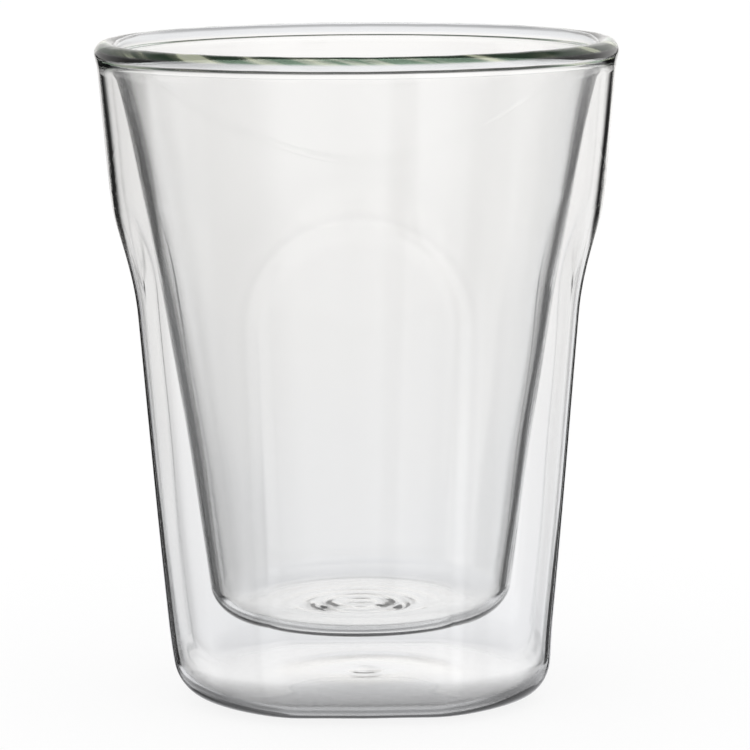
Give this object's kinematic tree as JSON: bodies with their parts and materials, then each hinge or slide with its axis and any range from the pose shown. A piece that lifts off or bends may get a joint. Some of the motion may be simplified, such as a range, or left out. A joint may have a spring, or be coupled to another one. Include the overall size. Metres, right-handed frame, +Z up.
{
  "type": "double walled glass cup",
  "caption": "Clear double walled drinking cup: a smooth round inner glass inside a tapered outer glass with arch-topped flats, fused at a rounded rim.",
  "frame": {"origin": "centre of the base, at table level", "axes": "+Z up along the cup's axis; -Y and +X look out through the middles of two neighbouring flats"},
  "size_m": [0.085, 0.085, 0.107],
  "materials": {
    "outer_glass": "clear blown glass, fire polished",
    "inner_glass": "clear blown glass, fire polished",
    "rim_glass": "fused glass bead, greenish when seen along its thickness",
    "pip_glass": "melted glass dot, fire polished"
  },
  "bodies": {
    "root": {"outer_shell": "outer_glass", "inner_liner": "inner_glass", "rim_weld": "rim_glass", "seal_pip": "pip_glass"}
  },
  "joints": []
}
